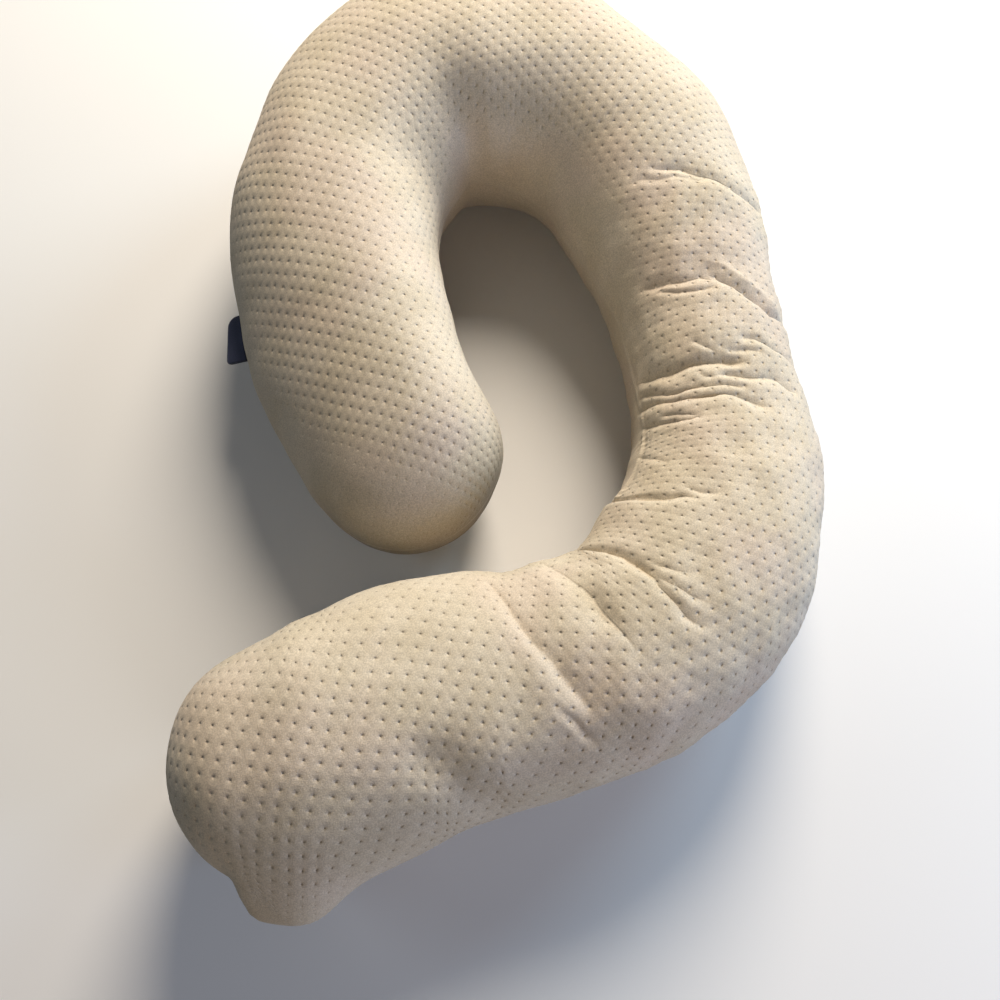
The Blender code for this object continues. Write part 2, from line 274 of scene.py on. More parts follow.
# The ribbon tab, as in the solid: its length lies along the seam.
TAB_PLACE = 221.7 * MM
TAB_LENGTH = 36 * MM
TAB_REACH = 18 * MM
TAB_TAPER = 7.5 * MM      # how much less it stands out at its far end
TAB_CORNERS = (3 * MM, 8 * MM)
TAB_RIBBON = 1.0 * MM
TAB_SPACE = 0.8 * MM      # between its two layers
TAB_DROOP = 0.18
TAB_LEAN = 0.12
TAB_OFF = 1.2 * MM        # it starts this far outside the cover, clear of the seam's ridge
TAB_WAVE = 0.35 * MM      # the ribbon isn't quite flat; the wave grows over a first length
TAB_WAVE_START = 6 * MM
TAB_WAVE_TURNS = (9, 60)  # radians over the tab's length, and for each metre outwards
TAB_STEPS = 64
TAB_POINTS = 12           # on each layer, and round the bend

# The dimples' look: where they and the quilting begin above the seam, in degrees, and over how
# many; and how much of each the slack cloth loses.
DIMPLE_EDGE = (2.2, 1.6)
QUILT_EDGE = (1.0, 5.0)
SLACK_DIMPLES = 0.72
SLACK_QUILTING = 0.8
CRUSHED_DIMPLES = 0.1
PUFF_RANGE = (1.0, 5.6)   # millimetres from the dimple
PIT_SHARPNESS = 0.27      # share of its depth that is left one millimetre away from its middle
DRIFT = (0.7, 1.0)        # the grid's small wanderings: scale and detail,
DRIFT_SIZE = 0.22         # and size, in dimple spacings
CAP_RAY_STEPS = 60        # the rounded ends are laid out flat along rays of this many steps,
CAP_BLEND = 30 * MM       # and blend into the rest over this length

# The seam's pale line, half its width in degrees, one stitch, and the share of it that is bare.
RIDGE_WIDTH = 1.2
STITCH = 3.6 * MM
STITCH_GAP = 0.45

# A fold's bottom is drawn in this far to each side, in millimetres, and fully from this depth on.
CREASE_WIDTH = 1.7
CREASE_FULL = 4

# Painted shade on the hook's tip, standing in for the shadow that falls there.
# The cloth is darker low down on the hook's tip, where the photo's shadow is deeper than the
# scene's. It loses up to this share, more and more below a height and towards the tip.
PAINTED_SHADE = 0.5
PAINTED_SHADE_TOP = 128 * MM
PAINTED_SHADE_HEIGHT = 75 * MM
PAINTED_SHADE_END = 105 * MM
PAINTED_SHADE_LENGTH = 70 * MM

# Relief in the materials, in millimetres.
PUFF_HEIGHT = 0.27
PIT_DEPTH = 1.7
CREASE_DEPTH = 0.45
LOOP_DEPTH = 0.10
GRAIN_HEIGHT = 0.10
THREAD_DEPTH = 0.25
RIB_HEIGHT = 0.10
RIBBON_GRAIN_HEIGHT = 0.08

# Patterns: scale, detail and roughness of the noise.
LOOPS = 9.5               # knitted loops from one dimple to the next
GRAIN = (900.0, 3.0, 0.6)
MOTTLE = (26.0, 3.0, 0.55)
BLUSH = (11.0, 2.0, 0.5)
RIBBON_GRAIN = (1500.0, 2.0, 0.6)
RIBS = 620.0
FLOOR_HAZE = (1.5, 2.0, 0.5)
BLUSH_OFFSET = (3.1, 1.7, 0.4)
KNIT_SHAPE = (1.0, 1.35, 1.0)
KNIT_SCALE = 0.95
KNIT_RANDOMNESS = 0.55
RIB_DISTORTION = 0.6

# What the patterns become: from and to, and where two more numbers follow, what they turn into.
MOTTLE_STEP = (0.35, 0.65)
BLUSH_STEP = (0.45, 0.68)
HEATHER_STEP = (0.36, 0.64, 0.86, 1.10)
LOOP_STEP = (0.15, 0.62, 1.03, 0.93)
JERSEY_ROUGHNESS = (0.2, 0.8, 0.82, 0.96)
RIBBON_STEP = (0.3, 0.7)
RIBBON_ROUGHNESS = (0.2, 0.8, 0.55, 0.72)
FLOOR_ROUGHNESS = 0.9

# How much of each colour is laid over the cream, or over the navy.
BLUSH_SHARE = 0.5
PIT_SHADE_AND_DIRT_SHARE = 0.12
RIDGE_SHARE = 0.30
THREAD_SHARE = 0.15
RIB_SHARE = 0.25

CREAM_DARK = (0.655, 0.560, 0.415, 1)
CREAM_LIGHT = (0.705, 0.610, 0.470, 1)
CREAM_BLUSH = (0.690, 0.560, 0.450, 1)
# the dimples' pits are painted darker: painted shade in the recesses, and partly dirt
PIT_SHADE_AND_DIRT = (0.34, 0.25, 0.15, 1)
RIDGE_COLOUR = (0.80, 0.72, 0.58, 1)
THREAD_COLOUR = (0.42, 0.35, 0.26, 1)
SHEEN_COLOUR = (1.0, 0.94, 0.84, 1)
NAVY_DARK = (0.026, 0.034, 0.078, 1)
NAVY_LIGHT = (0.050, 0.062, 0.125, 1)
NAVY_RIB = (0.060, 0.075, 0.140, 1)
FLOOR_DARK = (0.86, 0.86, 0.855, 1)
FLOOR_LIGHT = (0.89, 0.89, 0.885, 1)

FLOOR_SIZE = 8
FLOOR_DROP = 0.5 * MM     # clear of the cloth that lies on it

# Lamps: name, place, size in metres, power in watts, colour.
LIGHT_TARGET = (0, 0, 0.05)
LIGHTS = (
    ("key", (0.44, 1.65, 1.39), 1.05, 64.5, (1.0, 0.885, 0.74)),
    ("fill", (1.4, 1.3, 0.8), 0.9, 21, (0.54, 0.79, 1.0)),
    ("side", (1.8, -0.7, 0.5), 0.8, 16, (0.41, 0.61, 1.0)),
    ("near", (1.0, -1.5, 0.5), 0.8, 7.1, (1.0, 0.86, 0.78)),
    ("left", (-1.8, 0.1, 0.9), 0.9, 4.4, (0.75, 0.88, 1.0)),
)
GLOW = 0.07
GLOW_COLOUR = (1.0, 0.93, 0.90, 1)
BACKDROP = 0.85

CAMERA_LENS = 28.8        # millimetres, as is the sensor
CAMERA_SENSOR = 36
CAMERA_PLACE = (-0.010, -0.3325, 0.6770)
CAMERA_TILT = 20          # degrees off straight down


def columns(rows, names):
    """The rows of a table as one array for each named column."""
    return dict(zip(names, np.array(rows, dtype=float).T))


def spline(knots, values, at):
    """A smooth curve through values given at knots, read at the places named by at."""
    slope = np.gradient(values, knots)
    i = np.clip(np.searchsorted(knots, at, side="right") - 1, 0, len(knots) - 2)
    gap = knots[i + 1] - knots[i]
    t = (at - knots[i]) / gap
    start = (2 * t**3 - 3 * t**2 + 1) * values[i] + (t**3 - 2 * t**2 + t) * gap * slope[i]
    end = (3 * t**2 - 2 * t**3) * values[i + 1] + (t**3 - t**2) * gap * slope[i + 1]
    return start + end


def smooth(t):
    """0 to 1 with level ends."""
    t = np.clip(t, 0, 1)
    return t * t * (3 - 2 * t)


def within(s, stretch, ease):
    """1 inside a stretch of the line and 0 outside it, easing over a length at both its ends."""
    return smooth((s / MM - stretch[0]) / ease) * smooth((stretch[1] - s / MM) / ease)


class Line:
    """The centre line and the section's sizes at any distance along it, in metres and degrees."""

    def __init__(self):
        self.table = columns(LINE, LINE_COLUMNS)
        for name in LINE_COLUMNS[:5]:
            self.table[name] *= MM
        steps = np.hypot(np.diff(self.table["x"]), np.diff(self.table["y"]))
        self.knots = np.concatenate([[0.0], np.cumsum(steps)])
        self.length = self.knots[-1]

    def read(self, name, s):
        """One column of the table at distance s."""
        return spline(self.knots, self.table[name], s)

    def place(self, s):
        """Centre (x, y) and the unit vector to the left of the line."""
        ahead = np.clip(s + 0.5 * MM, 0, self.length)
        behind = np.clip(s - 0.5 * MM, 0, self.length)
        along_x = self.read("x", ahead) - self.read("x", behind)
        along_y = self.read("y", ahead) - self.read("y", behind)
        size = np.hypot(along_x, along_y)
        return self.read("x", s), self.read("y", s), -along_y / size, along_x / size


def rounding(distance, length, power):
    """Share of the full section at a distance from a tip that rounds off over a length."""
    t = np.clip(distance / length, 0, 1)
    return (1 - (1 - t) ** power) ** (1 / power)


def ear_reach(s):
    """How far the drawn-out corner stands beyond the foot's rounded side."""
    side = (s > EAR_PLACE).astype(int)
    away = np.abs(s - EAR_PLACE) / np.take(EAR_LENGTH, side)
    return EAR_REACH * np.exp(-(away ** np.take(EAR_POWER, side)))


def rounded(angle):
    """Sine and cosine of an angle, swelled so that together they draw a section's superellipse."""
    sine, cosine = np.sin(angle), np.cos(angle)
    side = np.sign(sine) * np.abs(sine) ** (2 / SECTION_POWER)
    rise = np.sign(cosine) * np.abs(cosine) ** (2 / SECTION_POWER)
    return side, rise


def body_point(line, s, degrees, lift=0.0):
    """Point of the cloth at distance s and an angle from the crown, -180 to 180, left positive."""
    x, y, left_x, left_y = line.place(s)
    turn = np.radians(degrees)
    height = line.read("height", s)
    seam = SEAM_HEIGHT * height
    from_foot = line.length - s
    hook = rounding(s, HOOK_CAP, HOOK_CAP_POWER)
    full = hook * rounding(from_foot, FOOT_CAP, FOOT_CAP_POWER)
    full_left = hook * rounding(from_foot, FOOT_CAP_LEFT, FOOT_CAP_LEFT_POWER)
    full_up = hook * rounding(from_foot, FOOT_CAP_TOP, FOOT_CAP_TOP_POWER)
    reach = np.where(degrees > 0, line.read("left", s) * full_left, line.read("right", s) * full)
    side, rise = rounded(turn)
    out = reach * side + ear_reach(s) * np.clip(np.sin(turn), 0, 1) ** EAR_THINNESS
    lean = columns(LEAN, LEAN_COLUMNS)
    tilted = rise * (1 - np.interp(s / MM, lean["place"], lean["share"]) * side)
    up = np.where(rise > 0, (height - seam) * full_up * tilted, (seam + SLUMP) * full * rise)
    size = np.maximum(np.hypot(out, up), TIP_SIZE)
    scale = 1 + lift * full / size
    out = out * scale
    z = seam + up * scale
    return np.stack([x + left_x * out, y + left_y * out, np.maximum(z, 0.0)], axis=-1)


def waves(x, y, z, length, seed):
    """Soft uneven hills of about one length, between roughly -1 and 1."""
    dice = np.random.RandomState(seed)
    total = 0.0
    for _ in range(HILL_WAVES):
        way = dice.normal(size=3)
        way *= 2 * np.pi / (length * dice.uniform(0.75, 1.5) * np.linalg.norm(way))
        total = total + np.sin(x * way[0] + y * way[1] + z * way[2] + dice.uniform(0, 2 * np.pi))
    return total / HILL_SPREAD


def hills(table, points):
    """The hills of a table's rows, one on the other, at each of the points."""
    x, y, z = points[..., 0], points[..., 1], points[..., 2]
    return sum(height * waves(x, y, z * tall, length, seed) for height, length, tall, seed in table)


def fold_height(s, degrees, wander):
    """How far the folds push the cloth in or out; where two folds meet the deeper one wins.

    With it come the distance across the deepest fine fold, in millimetres, and how deep that is."""
    troughs = 0.0
    rest = 0.0
    nearest = np.full(s.shape, FAR)
    depth = np.zeros(s.shape)
    gain, decay, start = SWELL
    for row in FOLDS:
        fold = dict(zip(FOLD_COLUMNS, row))
        angle, place = np.array(fold["points"], dtype=float).T
        at = np.clip(degrees, angle[0], angle[-1])
        run = spline(angle, place, at) if len(angle) > 2 else np.interp(at, angle, place)
        across = s / MM - run - wander
        share = smooth((degrees - angle[0]) / fold["fade"] + 0.5)
        share = share * smooth((angle[-1] - degrees) / fold["fade"] + 0.5)
        width = np.where(across < 0, fold["before"], fold["rise"])
        blunt = FOLD_EDGE + (ROUND_EDGE - FOLD_EDGE) * smooth((width - FINE_FOLD) / FINE_EASE)
        shape = share * fold["depth"] * np.exp(-(np.abs(across / width) ** blunt))
        if fold["depth"] > 0:
            troughs = troughs + shape**FOLD_MEETING
            deeper = (shape > depth) & (fold["before"] < FINE_FOLD)
            nearest = np.where(deeper, across, nearest)
            depth = np.where(deeper, shape, depth)
        else:
            rest = rest - shape
        beyond = np.clip(across / (fold["rise"] + fold["after"]), 0, None) ** start
        rest = rest + share * fold["swell"] * gain * beyond * np.exp(-decay * beyond)
    return (rest - troughs ** (1 / FOLD_MEETING)) * MM, np.clip(nearest, -FAR, FAR), depth


# ---------------------------------------------------------------------------- the cover's fine grid
def cap_rows(count):
    """Shares of a cap's length from its tip at which its rings lie, closer towards the tip."""
    return 1 - np.cos(np.linspace(0, np.pi / 2, count + 1))[1:]


def rows(line):
    """Distances along the line of the cover's rings, without the two tips."""
    places = list(cap_rows(HOOK_CAP_ROWS) * HOOK_CAP)
    while places[-1] < line.length - FOOT_CAP_LEFT - LAST_GAP * ROW_STEP:
        folded = FOLDED[0] * MM < places[-1] < FOLDED[1] * MM
        places.append(places[-1] + (FOLDED_ROW_STEP if folded else ROW_STEP))
    places += list(line.length - cap_rows(FOOT_CAP_ROWS)[::-1] * FOOT_CAP_LEFT)
    return np.array(places)


def even_degrees(count, end):
    """Angles from the crown to end that cut a typical section into equal lengths of cloth."""
    fine = np.linspace(0, np.radians(end), 721)
    out, up = rounded(fine)
    run = np.cumsum(np.hypot(np.diff(out), np.diff(up * SECTION_FLATNESS)))
    run = np.concatenate([[0.0], run])
    return np.degrees(np.interp(np.linspace(0, run[-1], count + 1), run, fine))


def side_columns(seam):
    """Angles from the crown to the middle of the underside for an array of seam angles."""
    top = even_degrees(TOP_COLUMNS, 90) / 90
    under = np.linspace(0, 1, UNDER_COLUMNS + 1)
    seam = np.asarray(seam, dtype=float)[:, None]
    upper = top * (seam - TOP_END)
    lower = seam + UNDER_START + under * (180 - seam - UNDER_START)
    return np.concatenate([upper, seam + np.array(SEAM_COLUMNS), lower], axis=1)


# Each point of the cover's grid: its distance along the line, its angle from the crown, and how
# many degrees below its side's seam it lies. A ring runs down the left side and up the right.
LINE_OF = Line()
ROWS = rows(LINE_OF)
RIGHT_SEAM = LINE_OF.read("seam", ROWS)
LEFT = side_columns(np.full(len(ROWS), LEFT_SEAM))
RIGHT = side_columns(RIGHT_SEAM)
DEGREES = np.concatenate([LEFT, -RIGHT[:, -2:0:-1]], axis=1)
BELOW_SEAM = np.concatenate(
    [LEFT - LEFT_SEAM, (RIGHT - RIGHT_SEAM[:, None])[:, -2:0:-1]], axis=1
)
ALONG = np.repeat(ROWS[:, None], DEGREES.shape[1], axis=1)


def grid_normals(points):
    """Outward normals of the closed grid of rings."""
    along = np.gradient(points, axis=0)
    round_it = np.roll(points, -1, axis=1) - np.roll(points, 1, axis=1)
    normal = np.cross(along, round_it)
    normal /= np.linalg.norm(normal, axis=-1, keepdims=True) + 1e-12
    outward = points - points.mean(axis=1, keepdims=True)
    return normal * np.sign((normal * outward).sum(axis=-1, keepdims=True) + 1e-9)


# ---------------------------------------------------------------------------- the flat cloth map
def cloth_map(base):
    """Where each point of the cover lies on the flat cloth, in dimple spacings."""
    grid = columns(LATTICE, LATTICE_COLUMNS)
    crown = base[:, 0]
    run = np.concatenate([[0.0], np.cumsum(np.linalg.norm(np.diff(crown, axis=0), axis=1))])
    inside = np.clip(ROWS / MM, 0, LATTICE[-1][0] - 1)
    heading = np.radians(spline(grid["place"], grid["heading"], inside))
    stretch = spline(grid["place"], grid["stretch"], inside)[:, None]
    step = np.diff(run) / stretch[1:, 0]
    middle = (heading[1:] + heading[:-1]) / 2
    crown_u = np.concatenate([[0.0], np.cumsum(step * np.cos(middle))])[:, None]
    crown_v = np.concatenate([[0.0], np.cumsum(step * np.sin(middle))])[:, None]
    count = base.shape[1]
    half = LEFT.shape[1]
    girth = np.zeros(base.shape[:2])
    lengths = np.linalg.norm(np.roll(base, -1, axis=1) - base, axis=-1)
    girth[:, 1:half] = np.cumsum(lengths[:, : half - 1], axis=1)
    girth[:, half:] = -np.cumsum(lengths[:, ::-1], axis=1)[:, count - half - 1 :: -1]
    girth /= stretch
    across_u, across_v = -np.sin(heading)[:, None], np.cos(heading)[:, None]
    flat = np.stack([crown_u + girth * across_u, crown_v + girth * across_v], axis=-1)
    for cap, ahead in ((HOOK_CAP, -1), (LINE_OF.length - FOOT_CAP_LEFT, 1)):
        flatten_cap(base, flat, heading, stretch, cap, ahead)
    return flat / np.array(LATTICE_PITCH)


def crown_height(line, s, left):
    """Height of the upper face at distance s and left of the line, before any fold or lean."""
    foot = line.length - s
    hook = rounding(s, HOOK_CAP, HOOK_CAP_POWER)
    height = line.read("height", s)
    reach_left = line.read("left", s) * hook * rounding(foot, FOOT_CAP_LEFT, FOOT_CAP_LEFT_POWER)
    reach_left = reach_left + ear_reach(s)
    reach_right = line.read("right", s) * hook * rounding(foot, FOOT_CAP, FOOT_CAP_POWER)
    reach = np.maximum(np.where(left > 0, reach_left, reach_right), 0.1 * MM)
    rise = (1 - np.clip(np.abs(left) / reach, 0, 1) ** SECTION_POWER) ** (1 / SECTION_POWER)
    full_up = hook * rounding(foot, FOOT_CAP_TOP, FOOT_CAP_TOP_POWER)
    return (height * SEAM_HEIGHT) + height * (1 - SEAM_HEIGHT) * full_up * rise


def flatten_cap(base, flat, heading, stretch, start, ahead):
    """Lays a rounded end out from the crown point at start, along rays as seen from above."""
    inside = np.where((ROWS - start) * ahead > 0)[0]
    near = inside[0] if ahead > 0 else inside[-1]
    x, y, left_x, left_y = LINE_OF.place(np.array(start))
    away_x, away_y = left_y * ahead, -left_x * ahead
    dx, dy = base[inside, :, 0] - x, base[inside, :, 1] - y
    forward = np.maximum(dx * away_x + dy * away_y, 0)
    left = dx * left_x + dy * left_y
    run = np.zeros(forward.shape)
    before = None
    for share in np.sin(np.linspace(0, np.pi / 2, CAP_RAY_STEPS)):
        s = np.clip(start + ahead * forward * share, 0, LINE_OF.length)
        here = (np.hypot(forward, left) * share, crown_height(LINE_OF, s, left * share))
        if before is not None:
            run += np.hypot(here[0] - before[0], here[1] - before[1])
        before = here
    angle = heading[near] + (0 if ahead > 0 else np.pi) + np.arctan2(left, forward) * ahead
    run /= stretch[near]
    from_start = np.stack([run * np.cos(angle), run * np.sin(angle)], -1)
    target = flat[near, 0].copy() + from_start
    blend = smooth(np.abs(ROWS[inside] - start) / CAP_BLEND)[:, None, None]
    flat[inside] = flat[inside] * (1 - blend) + target * blend


def least_stretch(base, lattice):
    """The share of its true length that the cloth map keeps at each point, where it keeps least."""
    flat = lattice * np.array(LATTICE_PITCH)
    cover = [np.gradient(base, axis=k) for k in (0, 1)]
    drawn = [np.gradient(flat, axis=k) for k in (0, 1)]
    a, b, c = ((cover[i] * cover[j]).sum(-1) for i, j in ((0, 0), (0, 1), (1, 1)))
    p, q, r = ((drawn[i] * drawn[j]).sum(-1) for i, j in ((0, 0), (0, 1), (1, 1)))
    area = a * c - b**2 + 1e-30
    middle = (c * p - 2 * b * q + a * r) / area / 2
    product = (p * r - q**2) / area
    least = middle - np.sqrt(np.maximum(middle**2 - product, 0))
    return np.sqrt(np.maximum(least, 0))


# ---------------------------------------------------------------------------- the cover
def seam_lift(base):
    """The sewn seam: a thin ridge between two shallow dips, drawn up in gathers in places."""
    right = DEGREES < 0
    near = BELOW_SEAM / SEAM_WIDTH
    proud = within(ALONG, PROUD_STRETCH, PROUD_EASE)
    ridge = SEAM_RIDGE * (1 - 0.5 * right) + SEAM_PROUD * proud * right
    gather = sum(within(ALONG, stretch, GATHER_EASE) for stretch in GATHER_STRETCHES)
    beat = np.sin(2 * np.pi * (ALONG / MM + hills(GATHER_WANDER, base)) / GATHER_PITCH)
    close = np.exp(-((BELOW_SEAM / GATHER_SPREAD) ** 2)) * right
    dips = np.exp(-((np.abs(near) - SEAM_DIP_PLACE) ** 2))
    return ridge * np.exp(-(near**2)) - SEAM_DIP * dips + GATHER * gather * beat * close


def slackness():
    """0 where the cloth is drawn tight and 1 where it is slack and its dimples are faint."""
    slack = np.zeros(ALONG.shape)
    for table, degrees, ease in (
        (FAINT_RIGHT, -DEGREES, FAINT_RIGHT_EASE), (FAINT_LEFT, DEGREES, FAINT_LEFT_EASE),
    ):
        faint = columns(table, FAINT_COLUMNS)
        beyond = degrees - np.interp(ALONG / MM, faint["place"], faint["degrees"])
        slack = np.maximum(slack, smooth(beyond / ease + 0.5))
    return slack


def closed_faces(count, ring):
    """Faces of a closed grid of rings, with a fan to a tip at each end; the tips come last."""
    i, j = np.meshgrid(np.arange(count - 1), np.arange(ring), indexing="ij")
    k = (j + 1) % ring
    quads = np.stack([i * ring + j, (i + 1) * ring + j, (i + 1) * ring + k, i * ring + k], -1)
    j = np.arange(ring)
    k = (j + 1) % ring
    last = (count - 1) * ring
    first_fan = np.stack([j, k, np.full(ring, count * ring)], -1)
    last_fan = np.stack([last + k, last + j, np.full(ring, count * ring + 1)], -1)
    return [tuple(face) for part in (quads.reshape(-1, 4), first_fan, last_fan)
            for face in part.tolist()]


def new_object(name, points, faces):
    """A smoothly shaded mesh object in the scene."""
    mesh = bpy.data.meshes.new(name)
    mesh.from_pydata(points, [], faces)
    mesh.polygons.foreach_set("use_smooth", [True] * len(mesh.polygons))
    mesh.update()
    obj = bpy.data.objects.new(name, mesh)
    bpy.context.scene.collection.objects.link(obj)
    return obj


def build_cover():
    """The whole cloth cover, with what its material needs to know at each point."""
    line = LINE_OF
    base = body_point(line, ALONG, DEGREES)
    full = rounding(ALONG, HOOK_CAP, 2) * rounding(line.length - ALONG, FOOT_CAP, 2)
    lift, across, deep = fold_height(ALONG, DEGREES, hills(FOLD_WANDER, base))
    lift = lift * np.where(BELOW_SEAM > 0, np.exp(-BELOW_SEAM / FOLD_FADE_UNDER), 1.0)
    points = body_point(line, ALONG, DEGREES, lift + seam_lift(base))
    # uneven filling, the soft crumple of the cloth between the folds, and the quilting
    crush = within(ALONG, FOLDED, FOLDED_EASE)
    soft = hills(FILLING, base) + crush * hills(CRUMPLE, base)
    slack = slackness()
    lattice = cloth_map(base)
    quilt = np.cos(2 * np.pi * lattice[..., 0]) + np.cos(2 * np.pi * lattice[..., 1])
    whole = smooth((least_stretch(base, lattice) - SMEARED) / SMEARED_EASE)
    top = smooth((-BELOW_SEAM - QUILT_EDGE[0]) / QUILT_EDGE[1]) * whole
    puffed = (QUILTING[0] + QUILTING[1] * crush) * quilt * top
    soft = soft - puffed * (1 - SLACK_QUILTING * slack)
    ground = smooth(points[..., 2] / GROUND_EASE)
    points = points + grid_normals(points) * (soft * MM * full * ground)[..., None]
    points[..., 2] = np.maximum(points[..., 2], 0.0)

    tips = [body_point(line, np.array(s), np.array(0.0)) for s in (0.0, line.length)]
    verts = np.concatenate([points.reshape(-1, 3), np.array(tips)])
    obj = new_object("pillow_cover", verts.tolist(), closed_faces(*ALONG.shape))
    mesh = obj.data
    cloth = np.concatenate([lattice.reshape(-1, 2), lattice[0, :1], lattice[-1, :1]])
    loops = np.empty(len(mesh.loops), dtype=np.int64)
    mesh.loops.foreach_get("vertex_index", loops)
    layer = mesh.uv_layers.new(name="cloth")
    layer.data.foreach_set("uv", cloth[loops].astype(np.float32).ravel())
    dimpled = smooth((-BELOW_SEAM - DIMPLE_EDGE[0]) / DIMPLE_EDGE[1]) * whole
    dimpled = dimpled * (1 - SLACK_DIMPLES * slack) * (1 + CRUSHED_DIMPLES * crush)
    # painted shade: how much darker the colour is made low down and towards the hook's tip
    low = smooth((PAINTED_SHADE_TOP - points[..., 2]) / PAINTED_SHADE_HEIGHT)
    for name, values in (
        ("dimpled", dimpled),
        ("ridge", np.exp(-((BELOW_SEAM / RIDGE_WIDTH) ** 2))),
        ("stitch", ALONG / STITCH),
        ("across", across),
        ("deep", smooth(deep / CREASE_FULL) * full),
        ("painted_shade", low * smooth((PAINTED_SHADE_END - ALONG) / PAINTED_SHADE_LENGTH)),
    ):
        data = mesh.attributes.new(name, "FLOAT", "POINT")
        flat = np.concatenate([values.ravel(), values[0, :1], values[-1, :1]])
        data.data.foreach_set("value", flat.astype(np.float32))
    mesh.update()
    return obj


# ---------------------------------------------------------------------------- the ribbon label
def tab_reach(t):
    """How far the tab stands out at a share t of its length, with its corners rounded."""
    reach = TAB_REACH - TAB_TAPER * t
    for share, radius in zip((t, 1 - t), TAB_CORNERS):
        short = max(radius - share * TAB_LENGTH, 0.0)
        reach -= radius - np.sqrt(radius**2 - short**2)
    return reach


def tab_ring(reach):
    """The cut through the folded ribbon, as (out, up): round its outside, back round its inside."""
    half, gap = TAB_SPACE / 2 + TAB_RIBBON, TAB_SPACE / 2
    reach = reach - half
    bend = np.linspace(np.pi / 2, -np.pi / 2, TAB_POINTS)
    runs = np.linspace(0, reach, TAB_POINTS)[:-1]
    ring = [(run, half) for run in runs]
    ring += [(reach + half * np.cos(a), half * np.sin(a)) for a in bend]
    ring += [(run, -half) for run in runs[::-1]]
    ring += [(run, -gap) for run in runs]
    ring += [(reach + gap * np.cos(a), gap * np.sin(a)) for a in bend[::-1]]
    ring += [(run, gap) for run in runs[::-1]]
    return ring


def build_label():
    """The folded ribbon, its two layers a little uneven, in the space of the solid it replaces."""
    line = LINE_OF
    verts = []
    for t in np.linspace(0, 1, TAB_STEPS + 1):
        s = np.array(TAB_PLACE + (t - 0.5) * TAB_LENGTH)
        root = body_point(line, s, np.array(float(LEFT_SEAM)), TAB_OFF)
        _, _, left_x, left_y = line.place(s)
        ring = tab_ring(tab_reach(t))
        for out, up in ring:
            turn = np.sin(TAB_WAVE_TURNS[0] * t + TAB_WAVE_TURNS[1] * out)
            wave = TAB_WAVE * turn * min(out / TAB_WAVE_START, 1)
            lean = TAB_LEAN * out
            verts.append((
                float(root[0] + left_x * out + left_y * lean),
                float(root[1] + left_y * out - left_x * lean),
                float(root[2] + up - TAB_DROOP * out + wave),
            ))
    count = len(ring)
    faces = []
    for i in range(TAB_STEPS):
        for j in range(count):
            k = (j + 1) % count
            faces.append((i * count + j, (i + 1) * count + j, (i + 1) * count + k, i * count + k))
    # the ribbon's thickness at its two cut edges
    for base, turned in ((0, False), (TAB_STEPS * count, True)):
        for j in range(count // 2 - 1):
            face = (base + j, base + j + 1, base + count - 2 - j, base + count - 1 - j)
            faces.append(face[::-1] if turned else face)
    return new_object("label_ribbon", verts, faces)


# ---------------------------------------------------------------------------- materials
class Nodes:
    """Short hand for building a material's node tree."""

    def __init__(self, name):
        self.material = bpy.data.materials.new(name)
        self.material.use_nodes = True
        self.tree = self.material.node_tree
        self.shader = self.tree.nodes["Principled BSDF"]

    def new(self, kind, **settings):
        """A node of a kind, with settings of its own."""
        node = self.tree.nodes.new(kind)
        for key, value in settings.items():
            setattr(node, key, value)
        return node

    def feed(self, node, **inputs):
        """Sets the inputs of a node, or of the shader, to values or to other nodes' outputs."""
        for name, value in inputs.items():
            self.plug(node.inputs[name.replace("_", " ")], value)

    def plug(self, socket, value):
        """Sets one socket to a value or links it to another node's output."""
        if isinstance(value, bpy.types.NodeSocket):
            self.tree.links.new(value, socket)
        else:
            socket.default_value = value

    def math(self, operation, a, b=0.0):
        node = self.new("ShaderNodeMath", operation=operation)
        for socket, value in zip(node.inputs, (a, b)):
            self.plug(socket, value)
        return node.outputs[0]

    def times(self, a, b):
        return self.math("MULTIPLY", a, b)

    def vector(self, operation, a, b=(0.0, 0.0, 0.0)):
        node = self.new("ShaderNodeVectorMath", operation=operation)
        self.plug(node.inputs[0], a)
        self.plug(node.inputs["Scale" if isinstance(b, float) else 1], b)
        return node.outputs["Value" if operation == "LENGTH" else "Vector"]

    def attribute(self, name):
        return self.new("ShaderNodeAttribute", attribute_name=name).outputs["Fac"]

    def noise(self, place, scale, detail=2.0, roughness=0.5, output="Fac"):
        node = self.new("ShaderNodeTexNoise")
        self.feed(node, Vector=place, Scale=scale, Detail=detail, Roughness=roughness)
        return node.outputs[output]

    def step(self, value, low, high, to_low=0.0, to_high=1.0):
        """value from low to high turned into to_low to to_high, smoothly and no further."""
        node = self.new("ShaderNodeMapRange", interpolation_type="SMOOTHSTEP")
        self.feed(node, Value=value, From_Min=low, From_Max=high, To_Min=to_low, To_Max=to_high)
        return node.outputs["Result"]

    def mix(self, share, a, b, kind="MIX"):
        node = self.new("ShaderNodeMix", data_type="RGBA", blend_type=kind)
        self.feed(node, Factor=share, A=a, B=b)
        return node.outputs["Result"]

    def bump(self, height):
        """Heights in millimetres as a change of the surface's direction."""
        node = self.new("ShaderNodeBump")
        self.feed(node, Strength=1.0, Distance=MM, Height=height)
        return node.outputs["Normal"]


